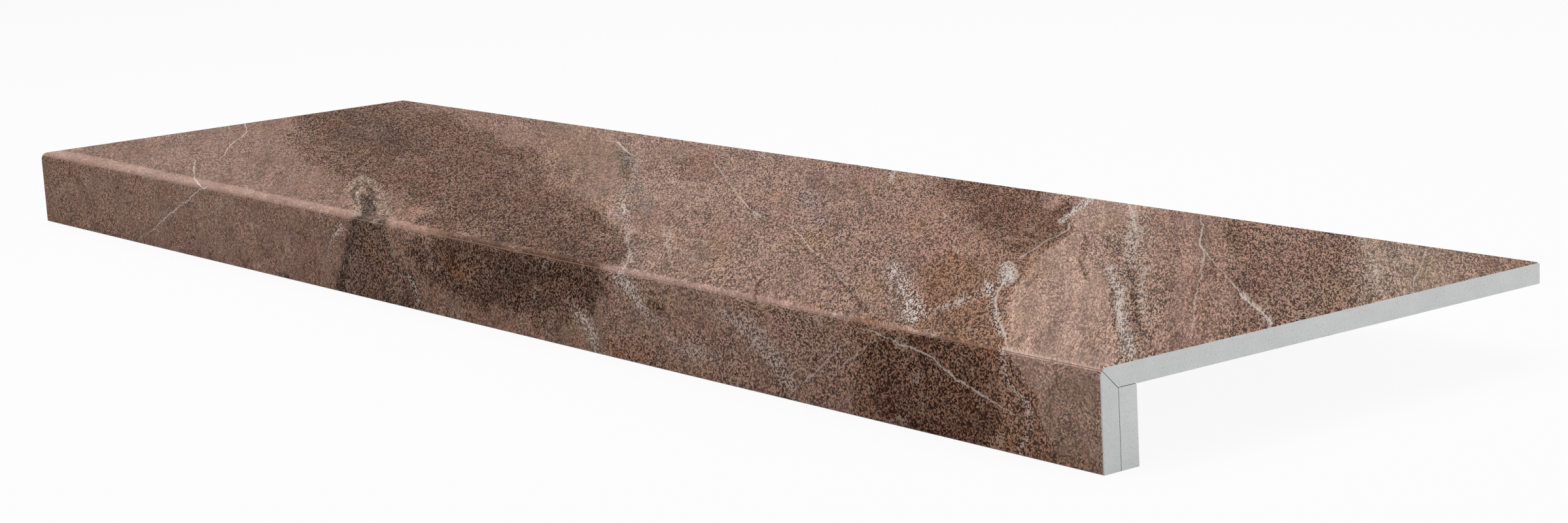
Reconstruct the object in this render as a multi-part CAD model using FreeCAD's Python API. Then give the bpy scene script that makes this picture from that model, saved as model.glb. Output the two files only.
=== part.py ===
import FreeCAD, Part
import math
import os

# Stair tread of porcelain stoneware with a folded-down nose, made from three sawn pieces of one tile.
#
# The tread slab is the step's flat top. Along its front edge it is mitred at 45 degrees, and the
# nosing strip, mitred the same way along its top edge, hangs from it, so that the stone-look face
# runs over the edge with no visible joint. The two are ground together to a rounded nosing. A plain
# backing strip of the same tile is glued behind the nosing strip and up under the slab, where the
# slab's back is milled flat to take it. One bed of epoxy fills the mitre, where it is ground flush
# with the nosing, the joint behind the nosing strip and the joint under the slab. The slab's back has
# shallow pressed keying channels for the tile adhesive.
#
# Axes: +X runs along the step, +Y from the nose to the back edge, +Z up. The origin is the middle of
# the outline's length and depth, at the lowest edge of the nose. Sizes are in millimetres.

# Overall sizes
tread_length = 1200.0
tread_depth = 330.0
nose_height = 54.0
tile_thickness = 12.0

# Worked edges of the stone-look face
nosing_radius = 5.0
arris_bevel = 0.8

# Epoxy joints
glue_thickness = 0.4
glue_setback = 0.8
glue_land_margin = 1.2

# Keying channels in the slab's back
channel_width = 15.0
channel_pitch = 25.0
channel_depth = 0.6
channel_border = 22.0

OUT = "parts"

# Places worked out from the sizes, in the section plane: y from the nose's face, z from its foot
slab_under_z = nose_height - tile_thickness
glue_land_z = slab_under_z + glue_thickness
backing_front_y = tile_thickness + glue_thickness
backing_back_y = backing_front_y + tile_thickness
glue_land_back_y = backing_back_y + glue_land_margin
# Half the mitre's bed, measured level or upright instead of square to the mitre
mitre_offset = glue_thickness / math.sqrt(2.0)


def section_point(y, z, x=0.0):
    """A point of the section, moved so that the row's origin is the middle of the depth."""
    return FreeCAD.Vector(x, y - tread_depth / 2.0, z)


def on_nosing(angle_deg):
    """The point of the rounded nosing at an angle: 90 faces up, 180 faces forward."""
    angle = math.radians(angle_deg)
    y = nosing_radius + nosing_radius * math.cos(angle)
    z = nose_height - nosing_radius + nosing_radius * math.sin(angle)
    return (y, z)


def mitre_angle(side):
    """Where a mitre face meets the rounding. Side is +1 for the slab and -1 for the nosing strip."""
    return 135.0 - math.degrees(math.asin(side * glue_thickness / 2.0 / nosing_radius))


def section_face(start, steps, x):
    """A closed face of the section. Each step is ("line", end) or ("arc", middle, end)."""
    edges = []
    here = section_point(*start, x=x)
    for step in steps:
        end = section_point(*step[-1], x=x)
        if step[0] == "arc":
            edges.append(Part.Arc(here, section_point(*step[1], x=x), end).toShape())
        else:
            edges.append(Part.LineSegment(here, end).toShape())
        here = end
    return Part.Face(Part.Wire(edges))


def along_tread(start, steps, length=tread_length):
    """The section carried along the tread, over a length centred on the origin."""
    return section_face(start, steps, -length / 2.0).extrude(FreeCAD.Vector(length, 0, 0))


def bevelled(solid, wanted):
    """The solid with a small bevel on each edge whose middle the test accepts."""
    edges = [edge for edge in solid.Edges if wanted(edge.CenterOfMass)]
    return solid.makeChamfer(arris_bevel, edges)


def on_an_end(p):
    """Is the point on one of the tread's two sawn ends?"""
    return abs(abs(p.x) - tread_length / 2.0) < 1e-6


def on_face_side(p):
    """Is the point on the stone-look side: the top, the rounding or the nose's face?"""
    front_y = -tread_depth / 2.0
    on_top = abs(p.z - nose_height) < 1e-6
    on_front = abs(p.y - front_y) < 1e-6
    in_rounding = p.y < front_y + nosing_radius and p.z > nose_height - nosing_radius
    return on_top or on_front or in_rounding


def keying_channel(y):
    """One pressed channel of the slab's back: a long pocket with round ends, cut from below."""
    radius = channel_width / 2.0
    straight = tread_length / 2.0 - channel_border - radius
    middle = y - tread_depth / 2.0
    corners = [
        FreeCAD.Vector(-straight, middle - radius, slab_under_z),
        FreeCAD.Vector(straight, middle - radius, slab_under_z),
        FreeCAD.Vector(straight, middle + radius, slab_under_z),
        FreeCAD.Vector(-straight, middle + radius, slab_under_z),
    ]
    right_tip = FreeCAD.Vector(straight + radius, middle, slab_under_z)
    left_tip = FreeCAD.Vector(-straight - radius, middle, slab_under_z)
    outline = Part.Wire([
        Part.LineSegment(corners[0], corners[1]).toShape(),
        Part.Arc(corners[1], right_tip, corners[2]).toShape(),
        Part.LineSegment(corners[2], corners[3]).toShape(),
        Part.Arc(corners[3], left_tip, corners[0]).toShape(),
    ])
    return Part.Face(outline).extrude(FreeCAD.Vector(0, 0, channel_depth))


def keying_channels():
    """All the channels, evenly spread between the milled land and the back edge's plain border."""
    first = glue_land_back_y + channel_border
    last = tread_depth - channel_border
    count = int((last - first - channel_width) // channel_pitch) + 1
    spare = (last - first) - (channel_width + (count - 1) * channel_pitch)
    start = first + spare / 2.0 + channel_width / 2.0
    return Part.makeCompound([keying_channel(start + n * channel_pitch) for n in range(count)])


def tread_slab():
    """The flat top of the step, mitred in front, milled for the backing strip, keyed underneath."""
    meet = mitre_angle(+1)
    slab = along_tread(on_nosing(meet), [
        ("arc", on_nosing((meet + 90.0) / 2.0), on_nosing(90.0)),
        ("line", (tread_depth, nose_height)),
        ("line", (tread_depth, slab_under_z)),
        ("line", (glue_land_back_y, slab_under_z)),
        ("line", (glue_land_back_y, glue_land_z)),
        ("line", (nose_height - glue_land_z + mitre_offset, glue_land_z)),
        ("line", on_nosing(meet)),
    ])
    back_y = tread_depth / 2.0

    def worked(p):
        on_back = abs(p.y - back_y) < 1e-6 and abs(p.z - nose_height) < 1e-6
        return on_back or (on_an_end(p) and on_face_side(p))

    return bevelled(slab, worked).cut(keying_channels())


def nosing_strip():
    """The face of the nose, mitred at its top and hanging straight down."""
    meet = mitre_angle(-1)
    strip = along_tread((0.0, 0.0), [
        ("line", on_nosing(180.0)),
        ("arc", on_nosing((meet + 180.0) / 2.0), on_nosing(meet)),
        ("line", (tile_thickness, slab_under_z - mitre_offset)),
        ("line", (tile_thickness, 0.0)),
        ("line", (0.0, 0.0)),
    ])
    front_y = -tread_depth / 2.0

    def worked(p):
        on_foot = abs(p.z) < 1e-6 and abs(p.y - front_y) < 1e-6
        return on_foot or (on_an_end(p) and on_face_side(p))

    return bevelled(strip, worked)


def backing_strip():
    """The plain strip behind the nosing strip, which doubles the nose's thickness."""
    return along_tread((backing_front_y, 0.0), [
        ("line", (backing_front_y, slab_under_z)),
        ("line", (backing_back_y, slab_under_z)),
        ("line", (backing_back_y, 0.0)),
        ("line", (backing_front_y, 0.0)),
    ])


def epoxy_bed():
    """The glue in the three joints, which meet behind the mitre.

    In the mitre it is ground flush with the rounded nosing. At its other ends it stops a little short
    of the air.
    """
    rear_y = backing_back_y - glue_setback
    return along_tread(on_nosing(mitre_angle(-1)), [
        ("arc", on_nosing(135.0), on_nosing(mitre_angle(+1))),
        ("line", (nose_height - glue_land_z + mitre_offset, glue_land_z)),
        ("line", (rear_y, glue_land_z)),
        ("line", (rear_y, slab_under_z)),
        ("line", (backing_front_y, slab_under_z)),
        ("line", (backing_front_y, glue_setback)),
        ("line", (tile_thickness, glue_setback)),
        ("line", (tile_thickness, slab_under_z - mitre_offset)),
        ("line", on_nosing(mitre_angle(-1))),
    ], length=tread_length - 2.0 * glue_setback)


def main():
    os.makedirs(OUT, exist_ok=True)
    pieces = {
        "tread_slab": tread_slab(),
        "nosing_strip": nosing_strip(),
        "backing_strip": backing_strip(),
        "epoxy_bed": epoxy_bed(),
    }
    for name, solid in pieces.items():
        shape = solid if solid.ShapeType == "Solid" else solid.Solids[0]
        assert solid.isValid() and len(solid.Solids) == 1, name
        shape.exportStep(os.path.join(OUT, name + ".step"))
        print(name, "volume", round(shape.Volume / 1000.0, 1), "cm3")


main()
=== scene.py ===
import math
from collections import namedtuple

import bpy
import numpy as np
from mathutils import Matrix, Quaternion, Vector


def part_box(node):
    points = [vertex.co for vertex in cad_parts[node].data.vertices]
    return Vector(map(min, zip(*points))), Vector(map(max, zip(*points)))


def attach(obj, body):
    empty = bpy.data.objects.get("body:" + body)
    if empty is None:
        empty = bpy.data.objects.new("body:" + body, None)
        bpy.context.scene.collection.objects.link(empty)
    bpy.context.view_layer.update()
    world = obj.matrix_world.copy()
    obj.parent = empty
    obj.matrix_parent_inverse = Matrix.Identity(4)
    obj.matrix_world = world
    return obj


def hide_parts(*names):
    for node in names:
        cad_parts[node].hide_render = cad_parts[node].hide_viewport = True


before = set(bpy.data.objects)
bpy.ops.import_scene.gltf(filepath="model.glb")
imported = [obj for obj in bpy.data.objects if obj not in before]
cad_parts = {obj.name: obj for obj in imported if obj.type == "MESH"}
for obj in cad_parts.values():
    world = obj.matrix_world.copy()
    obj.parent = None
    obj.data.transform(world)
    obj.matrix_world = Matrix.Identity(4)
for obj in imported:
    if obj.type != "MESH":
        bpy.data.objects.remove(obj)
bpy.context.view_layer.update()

# Stair tread of stone-look porcelain with a folded-down nose, dressed for its portrait.
# X runs along the step, Y from the nose to the back edge and Z up. Shapes and materials are worked
# out in millimetres. The face is read as a flat plan (x, s): s is the way back from the nose's sharp
# edge on the top, and below zero the way down from it on the front, so s = y + z - foldSum on both.

mm = 0.001
slabLow, slabHigh = [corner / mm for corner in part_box("tread_slab")]
noseLow, noseHigh = [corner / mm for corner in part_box("nosing_strip")]
backingLow, backingHigh = [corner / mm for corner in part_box("backing_strip")]
halfLength = slabHigh.x
foldSum = noseLow.y + slabHigh.z

print("frame read:", round(2 * halfLength), "mm long,", round(slabHigh.z), "mm high")


# Outlines of the section, seen from the right end with y to the right and z up. Each run of points
# goes round the material on its left, and says how the stone-look face lies beside it.

workedEdges = {
    "nosingRadius": 5.0,
    "arrisBevel": 0.8,
    "mitreGap": backingLow.y - noseHigh.y,   # one bed of epoxy, the same in all the joints
    "landMargin": 1.2,                       # the milled land goes this far past the backing strip
    "landDepth": 0.4,
    "faceRelief": 0.10,                      # pressed waviness of the face, always inwards
    "reliefGroundOff": 0.5,                  # share of it that the grinding takes off the rounding
    "groundWaviness": 0.12,                  # the nosing is ground by hand, also only inwards
    "stationSpacing": 6.0,                   # mm between the rows of points along the step
    "topSpacing": 5.0,                       # and between the outline's points on the top
    "roundSteps": 9,                         # steps of the outlines' other runs
    "frontSteps": 10,
    "mitreSteps": 4,
    "landSteps": 2,
    "sawnSteps": 3,
    "hiddenSteps": 6,
    "sharpAngle": 25.0,                      # edges that turn by more than this are shaded sharp
}


def straightRun(start, end, steps, faceward=(0.0, 0.0)):
    # Points evenly spread from start towards end, without the end. Rows: y, z, way into the tile
    share = (np.arange(steps) / steps)[:, None]
    points = np.array(start) * (1 - share) + np.array(end) * share
    return np.hstack([points, np.tile(np.array(faceward, float), (steps, 1))])


def nosingRun(fromAngle, toAngle, steps, closing):
    # Points round the nosing: centre + radius * (cos, sin). 90 degrees faces up, 180 forward
    count = steps + (1 if closing else 0)
    angle = np.radians(fromAngle + (toAngle - fromAngle) * np.arange(count) / steps)
    radius = workedEdges["nosingRadius"]
    outward = np.column_stack([np.cos(angle), np.sin(angle)])
    centre = np.array([noseLow.y + radius, slabHigh.z - radius])
    return np.hstack([centre + radius * outward, -outward])


def mitreAngle(side):
    # Where a mitre face meets the rounding: half the bed to the side of 135 degrees
    halfBed = workedEdges["mitreGap"] / 2
    return 135.0 - math.degrees(math.asin(side * halfBed / workedEdges["nosingRadius"]))


def slabOutline(channelRows):
    # Up the back edge, along the top, round to the mitre, in along it to the milled land, and back
    # over the channels of the underside
    bevel = workedEdges["arrisBevel"]
    landZ = slabLow.z + workedEdges["landDepth"]
    landBackY = backingHigh.y + workedEdges["landMargin"]
    mitreFootY = foldSum - landZ + workedEdges["mitreGap"] / math.sqrt(2)
    backY = slabHigh.y
    topSteps = int((backY - noseLow.y) / workedEdges["topSpacing"])
    mitreSteps = workedEdges["mitreSteps"]
    sawnSteps = workedEdges["sawnSteps"]
    roundEnd = nosingRun(mitreAngle(+1), mitreAngle(+1), 1, False)[0]
    underside = np.array([(y, slabLow.z, 0.0, 0.0) for y in channelRows])
    return np.vstack([
        straightRun((backY, slabLow.z), (backY, slabHigh.z - bevel), sawnSteps),
        straightRun((backY, slabHigh.z - bevel), (backY - bevel, slabHigh.z), 1),
        straightRun((backY - bevel, slabHigh.z), (noseLow.y + workedEdges["nosingRadius"], slabHigh.z),
                    topSteps, faceward=(0.0, -1.0)),
        nosingRun(90.0, mitreAngle(+1), workedEdges["roundSteps"], True),
        straightRun(roundEnd[:2], (mitreFootY, landZ), mitreSteps)[1:],
        straightRun((mitreFootY, landZ), (landBackY, landZ), workedEdges["landSteps"]),
        straightRun((landBackY, landZ), (landBackY, slabLow.z), 1),
        straightRun((landBackY, slabLow.z), (channelRows[0], slabLow.z), sawnSteps),
        underside,
    ])


def nosingOutline():
    # Up the hidden side, along the mitre, round to the front, down it and back along the foot
    bevel = workedEdges["arrisBevel"]
    mitreFootZ = foldSum - noseHigh.y - workedEdges["mitreGap"] / math.sqrt(2)
    roundStart = nosingRun(mitreAngle(-1), mitreAngle(-1), 1, False)[0]
    frontTopZ = slabHigh.z - workedEdges["nosingRadius"]
    return np.vstack([
        straightRun((noseHigh.y, 0.0), (noseHigh.y, mitreFootZ), workedEdges["hiddenSteps"]),
        straightRun((noseHigh.y, mitreFootZ), roundStart[:2], workedEdges["mitreSteps"]),
        nosingRun(mitreAngle(-1), 180.0, workedEdges["roundSteps"], False),
        straightRun((noseLow.y, frontTopZ), (noseLow.y, bevel), workedEdges["frontSteps"],
                    faceward=(1.0, 0.0)),
        straightRun((noseLow.y, bevel), (noseLow.y + bevel, 0.0), 1, faceward=(1.0, 0.0)),
        straightRun((noseLow.y + bevel, 0.0), (noseHigh.y, 0.0), workedEdges["sawnSteps"]),
    ])


def lengthStations(fine=()):
    # Places along the step: the two ends, where their bevels start, the wanted fine places, and between
    inner = halfLength - workedEdges["arrisBevel"]
    even = np.linspace(-inner, inner, int(2 * inner / workedEdges["stationSpacing"]) + 1)
    fine = np.array(fine, float)
    return np.unique(np.round(np.concatenate([even, [-halfLength, halfLength], fine, -fine]), 3))


def faceRelief(x, s):
    # Soft waves pressed into the face, from 0 to 1: a product of two sines and two slanting sines, with
    # their lengths in mm to a radian
    first = np.sin(x / 47.0 + 0.6 * np.sin(s / 31.0)) * np.sin(s / 23.0 + 0.4)
    second = np.sin(x / 19.0 + s / 27.0)
    third = np.sin(x / 83.0 - s / 61.0 + 1.3)
    return 0.5 + (first + second * 0.5 + third) / 5.0


def groundWaviness(x):
    # Slow unevenness of the hand-ground nosing, from 0 to 1: three sines along the step added up
    return 0.5 + (np.sin(x / 61.0 + 0.8) + np.sin(x / 23.0) * 0.6 + np.sin(x / 137.0 + 2.1)) / 5.2


def carriedAlong(name, outline, stations, underside=None):
    # The outline carried along X as one closed skin. Point (i, j) is station i of outline point j,
    # moved into the tile by the end bevel, the face's relief and, on the rounding, its waviness, which
    # fades towards both ends of the rounding as the root of |inY * inZ|
    x = stations[:, None]
    y = np.tile(outline[:, 0], (len(stations), 1))
    z = np.tile(outline[:, 1], (len(stations), 1))
    inY = outline[:, 2]
    inZ = outline[:, 3]
    onFace = (inY != 0) | (inZ != 0)
    onRound = (inY > 0) & (inZ < 0)
    endBevel = np.clip(workedEdges["arrisBevel"] - (halfLength - np.abs(x)), 0.0, None)
    pressed = workedEdges["faceRelief"] * faceRelief(x, y + z - foldSum)
    pressed = pressed * (1 - onRound * workedEdges["reliefGroundOff"])
    ground = workedEdges["groundWaviness"] * groundWaviness(x) * onRound * np.sqrt(np.abs(inY * inZ))
    inward = np.where(onFace, endBevel + pressed + ground, 0.0)
    y = y + inward * inY
    z = z + inward * inZ
    if underside is not None:
        z = z + underside(x, y) * (np.abs(z - slabLow.z) < 1e-6)
    points = np.stack([np.broadcast_to(x, y.shape), y, z], axis=-1).reshape(-1, 3) * mm
    rows, columns = y.shape
    i, j = np.meshgrid(np.arange(rows - 1), np.arange(columns), indexing="ij")
    nextJ = (j + 1) % columns
    quads = np.stack([i * columns + j, i * columns + nextJ, (i + 1) * columns + nextJ,
                      (i + 1) * columns + j], axis=-1).reshape(-1, 4)
    leftCap = np.arange(columns)[::-1]
    rightCap = (rows - 1) * columns + np.arange(columns)
    mesh = bpy.data.meshes.new(name)
    mesh.from_pydata(points.tolist(), [], quads.tolist() + [leftCap.tolist(), rightCap.tolist()])
    mesh.validate()
    mesh.shade_smooth()
    mesh.set_sharp_from_angle(angle=math.radians(workedEdges["sharpAngle"]))
    mesh.update()
    piece = bpy.data.objects.new(name, mesh)
    bpy.context.scene.collection.objects.link(piece)
    return piece


# Keying channels pressed into the slab's back: long pockets with round ends and sloping sides

keyingChannels = {
    "width": 15.0,
    "pitch": 25.0,
    "depth": 0.6,
    "border": 22.0,
    "draft": 0.5,              # the sides lean by this much over their height
    "floorRows": (0.8, 0.4),   # rows of points across the floor, as shares of half the width
    "tipStations": 8,
}


def channelCentres():
    # As many channels as fit between the land's border and the back edge's, spread evenly
    first = backingHigh.y + workedEdges["landMargin"] + keyingChannels["border"]
    last = slabHigh.y - keyingChannels["border"]
    width = keyingChannels["width"]
    pitch = keyingChannels["pitch"]
    count = int((last - first - width) // pitch) + 1
    spare = (last - first) - (width + (count - 1) * pitch)
    return first + spare / 2 + width / 2 + pitch * np.arange(count)


def channelRows():
    # The y places that the channels need: both edges of each side, and some across the floor
    half = keyingChannels["width"] / 2
    floor = [half * share for share in keyingChannels["floorRows"]]
    oneSide = np.array([half, half - keyingChannels["draft"]] + floor)
    across = np.concatenate([-oneSide, [0.0], oneSide[::-1]])
    return (channelCentres()[:, None] + across).ravel()


def channelStations():
    # The x places of the round ends, closer together towards the tip
    radius = keyingChannels["width"] / 2
    straight = halfLength - keyingChannels["border"] - radius
    return straight + radius * np.sin(np.linspace(0, math.pi / 2, keyingChannels["tipStations"]))


def channelDepth(x, y):
    # Depth from the distance to the nearest channel's middle line: full inside, none past its edge
    radius = keyingChannels["width"] / 2
    straight = halfLength - keyingChannels["border"] - radius
    pastEnd = np.clip(np.abs(x) - straight, 0, None)
    nearest = np.min(np.abs(y[..., None] - channelCentres()), axis=-1)
    inside = radius - np.sqrt(pastEnd ** 2 + nearest ** 2)
    return keyingChannels["depth"] * np.clip(inside / keyingChannels["draft"], 0, 1)


treadSlab = carriedAlong("treadSlab", slabOutline(channelRows()), lengthStations(channelStations()),
                         underside=channelDepth)
nosingStrip = carriedAlong("nosingStrip", nosingOutline(), lengthStations())
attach(treadSlab, "root")
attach(nosingStrip, "root")
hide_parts("tread_slab")
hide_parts("nosing_strip")
print("slab and nosing strip carried along the step")


# Materials. A recipe adds one node at a time to a material and hands back the node's output.

usualNoise = (0.3, 0.7)   # nearly all values of a noise lie between these


def linearColour(shown):
    # A colour as a picture editor shows it, 0 to 255, as the linear light that shaders use
    share = np.array(shown, float) / 255.0
    linear = np.where(share <= 0.04045, share / 12.92, ((share + 0.055) / 1.055) ** 2.4)
    return tuple(float(part) for part in linear) + (1.0,)


class Recipe:
    def __init__(self, name):
        self.material = bpy.data.materials.new(name)
        self.material.use_nodes = True
        self.tree = self.material.node_tree
        self.tree.nodes.clear()

    def node(self, kind, **settings):
        made = self.tree.nodes.new(kind)
        for setting, value in settings.items():
            setattr(made, setting, value)
        return made

    def feed(self, socket, value):
        # A link where the value comes from another node, else the socket's own number
        if isinstance(value, bpy.types.NodeSocket):
            self.tree.links.new(value, socket)
        else:
            socket.default_value = value

    def math(self, operation, a, b=0.0, c=0.0):
        made = self.node("ShaderNodeMath", operation=operation)
        for socket, value in zip(made.inputs, (a, b, c)):
            self.feed(socket, value)
        return made.outputs[0]

    def times(self, a, b):
        return self.math("MULTIPLY", a, b)

    def plus(self, a, b):
        return self.math("ADD", a, b)

    def minus(self, a, b):
        return self.math("SUBTRACT", a, b)

    def timesPlus(self, a, b, c):
        return self.math("MULTIPLY_ADD", a, b, c)

    def vector(self, operation, a, b=(0.0, 0.0, 0.0)):
        made = self.node("ShaderNodeVectorMath", operation=operation)
        self.feed(made.inputs[0], a)
        self.feed(made.inputs[1], b)
        return made.outputs["Value" if operation == "LENGTH" else "Vector"]

    def weighed(self, a, b, weights, start):
        # start + a * weights[0] + b * weights[1]
        return self.timesPlus(a, weights[0], self.timesPlus(b, weights[1], start))

    def combine(self, x=0.0, y=0.0, z=0.0):
        made = self.node("ShaderNodeCombineXYZ")
        for socket, value in zip(made.inputs, (x, y, z)):
            self.feed(socket, value)
        return made.outputs[0]

    def split(self, vector):
        made = self.node("ShaderNodeSeparateXYZ")
        self.feed(made.inputs[0], vector)
        return made.outputs

    def noise(self, place, blob, detail=2.0, roughness=0.5, output="Fac", dimensions="2D"):
        # Blobs are about as wide as said, in the unit of the place
        made = self.node("ShaderNodeTexNoise", noise_dimensions=dimensions)
        self.feed(made.inputs["Vector"], place)
        made.inputs["Scale"].default_value = 0.5 / blob
        made.inputs["Detail"].default_value = detail
        made.inputs["Roughness"].default_value = roughness
        return made.outputs[output]

    def crystals(self, place, count):
        # Random values from 0 to 1, three to a grain, with so many grains to a millimetre
        made = self.node("ShaderNodeTexVoronoi", voronoi_dimensions="2D")
        self.feed(made.inputs["Vector"], place)
        self.feed(made.inputs["Scale"], count)
        return made.outputs["Color"]

    def centred(self, value, gain):
        # A noise value as a swing either side of zero
        return self.times(self.minus(value, 0.5), gain)

    def spread(self, value, low, high, toLow=0.0, toHigh=1.0, smooth=True):
        # From toLow to toHigh as the value goes from low to high, eased at both ends or straight
        shape = "SMOOTHSTEP" if smooth else "LINEAR"
        made = self.node("ShaderNodeMapRange", interpolation_type=shape)
        for label, given in (("Value", value), ("From Min", low), ("From Max", high),
                             ("To Min", toLow), ("To Max", toHigh)):
            self.feed(made.inputs[label], given)
        return made.outputs["Result"]

    def blend(self, share, under, over, how="MIX"):
        # under + share * (over - under), or the same with under * over in the place of over
        made = self.node("ShaderNodeMix", data_type="RGBA", blend_type=how)
        self.feed(made.inputs[0], share)
        self.feed(made.inputs[6], under)
        self.feed(made.inputs[7], over)
        return made.outputs[2]

    def between(self, share, first, second):
        # The same for two numbers: first + share * (second - first)
        made = self.node("ShaderNodeMix", data_type="FLOAT")
        self.feed(made.inputs[0], share)
        self.feed(made.inputs[2], first)
        self.feed(made.inputs[3], second)
        return made.outputs[0]

    def curve(self, position, points):
        # A smooth line through given points, with both ways from 0 to 1
        made = self.node("ShaderNodeFloatCurve")
        made.mapping.extend = "HORIZONTAL"
        line = made.mapping.curves[0]
        while len(line.points) < len(points):
            line.points.new(0.5, 0.5)
        for point, place in zip(line.points, points):
            point.location = place
            point.handle_type = "AUTO_CLAMPED"
        made.mapping.update()
        self.feed(made.inputs["Value"], position)
        return made.outputs["Value"]

    def shade(self, colour, roughness, height, heightMm, **constants):
        # The finished material. Height is from 0 to 1, of heightMm
        shader = self.node("ShaderNodeBsdfPrincipled")
        self.feed(shader.inputs["Base Color"], colour)
        self.feed(shader.inputs["Roughness"], roughness)
        for label, value in constants.items():
            shader.inputs[label.replace("_", " ")].default_value = value
        bump = self.node("ShaderNodeBump")
        bump.inputs["Distance"].default_value = heightMm * mm
        self.feed(bump.inputs["Height"], height)
        self.tree.links.new(bump.outputs["Normal"], shader.inputs["Normal"])
        output = self.node("ShaderNodeOutputMaterial")
        self.tree.links.new(shader.outputs["BSDF"], output.inputs["Surface"])
        return self.material


# The stone picture printed and glazed on the face. Colours are as an editor shows them.

stoneLook = {
    "flowSlope": 0.79,           # the beds run down to the right: flow = s + x * (slope + bend * x)
    "flowBend": 0.000233,
    "frontSteepness": 0.35,      # and hang nearly straight down the front of the nose
    "frontFrom": -1.0,           # the place s where the front starts
    "flowFrom": -460.0,
    "flowTo": 900.0,
    "bedWander": (46.0, 20.0),   # mm that the wander's two parts move the beds
    "patchTear": (24.0, 8.0),    # mm that wander and tremble move a patch's edge, if it is 1 ragged
    "veinTear": (4.0, 3.0),
    "overallTint": (0.98, 0.955, 0.93),
    "hueTints": ((1.06, 0.95, 0.82), (0.93, 0.99, 0.86), (1.06, 0.94, 1.0)),   # rusty, olive and rosy
    "hueLevels": (0.5, 0.72),    # a tint starts at the first value of its noise, full at the second
    "livelyGrain": (0.1, 0.6),   # hues and clouds are full where the share of grain is the second
    "livelyShares": (0.3, 1.0),
    "cloudStops": 2.6,           # how far brightness swings, in doublings over the noise's whole range
    "streakStops": 5.5,
    "streakFlow": (470.0, 540.0),     # streaks are fainter before the first flow than past the second
    "streakShares": (0.26, 0.42),
    "darkestStops": -1.9,
    "brightestStops": 1.1,
    "glazeDepth": 0.45,          # the pale fired body shows below this, give or take the edge
    "glazeEdge": 0.08,
    "grainHeight": 0.5,          # the grain stands this high, as a share of heightMm
    "roughness": 0.58,
    "roughnessSwing": 0.06,
    "specular": 0.02,
    "heightMm": 0.12,
}

# The noises in it: width of a blob in mm across the beds, detail and roughness
stoneNoises = {
    "wander": (12.0, 4.0, 0.62),
    "tremble": (2.4, 2.0, 0.6),
    "hues": (13.0, 4.0, 0.6),
    "coarse": (1.5, 3.0, 0.7),
    "clouds": (13.0, 5.0, 0.66),
    "streaks": (4.5, 4.0, 0.72),
    "clusters": (17.0, 4.0, 0.65),
    "contour": (15.0, 4.0, 0.58),
}
noiseShifts = {"hues": (130.0, 70.0, 0.0), "coarse": (57.0, 31.0, 0.0), "clouds": (11.0, 93.0, 0.0)}

grainLook = {
    "along": (0.8, -0.6),        # x and s of the way the beds run. Grains and noises on the top are
    "stretch": 5.0,              # stretched that way
    "across": 0.74,              # mm across the beds for 1 of flow
    "perMmOnTop": 1.6,
    "perMmOnFront": 1.2,
    "fineStops": 12.0,
    "coarseStops": 0.9,
    "leastShare": 0.04,          # the smoothest stone keeps this much grain
    "clusterLevels": (0.38, 0.62),
    "clusterShares": (0.55, 1.1),
    "paleColour": (204, 170, 150),
    "paleStops": (0.3, 1.9),
    "paleShare": 0.3,
    "paleFleck": (202, 164, 142),
    "darkFleck": (70, 50, 42),
    "fleckLevels": (0.86, 0.93),
    "fleckShare": 0.9,
    "warmSwing": 0.34,
    "coolSwing": 0.5,
    "streakStretch": 4.0,        # streaks are this many times longer still
}

# The nosing where it is ground and painted lighter as a highlight: the places s where it starts and fades
# out, and its looks
groundNosingAndHighlight = {
    "start": (-1.5, -0.7),
    "end": (7.5, 12.8),
    "widening": 0.0141,          # it reaches further back at the left, by this for each mm
    # painted highlight: the band's colour is multiplied this much lighter, as if more light fell on the
    # rounding
    "tone": (1.74, 1.78, 1.86),
    "calm": 0.85,                # share of the grain that is ground away
    "polish": 0.08,
}

# Hairlines: contours of a noise at these levels, full up to the first width from it and gone at the
# second, both in the noise's own values
hairlines = {
    "pale": {"colour": (196, 178, 166), "level": 0.52, "widths": (0.004, 0.013), "share": 0.55},
    "dark": {"colour": (70, 50, 42), "level": 0.44, "widths": (0.004, 0.016), "share": 0.5},
    "paleWhere": (-0.02, 0.12),  # pale ones show where the wander is past these, dark ones elsewhere
}

# The beds across the flow: where, colour, share of crystalline grain
stoneBeds = [
    (-460, (138, 110, 97), 0.25),
    (-330, (146, 119, 107), 0.18),
    (-235, (149, 122, 110), 0.13),
    (-150, (143, 115, 103), 0.14),
    (-60, (140, 112, 99), 0.22),
    (60, (142, 114, 101), 0.24),
    (115, (150, 124, 109), 0.16),
    (150, (148, 122, 111), 0.28),
    (200, (150, 123, 111), 0.28),
    (290, (146, 119, 108), 0.34),
    (345, (142, 115, 104), 0.40),
    (385, (142, 113, 101), 0.44),
    (415, (139, 108, 93), 0.52),
    (500, (136, 104, 88), 0.52),
    (516, (164, 136, 123), 0.28),
    (548, (164, 136, 123), 0.22),
    (558, (150, 126, 114), 0.46),
    (570, (154, 135, 122), 0.50),
    (590, (147, 118, 105), 0.34),
    (612, (152, 122, 110), 0.16),
    (642, (143, 113, 100), 0.30),
    (656, (122, 94, 82), 0.80),
    (738, (122, 94, 82), 0.80),
    (754, (158, 138, 125), 0.20),
    (810, (158, 134, 120), 0.16),
    (860, (142, 115, 101), 0.30),
]

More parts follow.
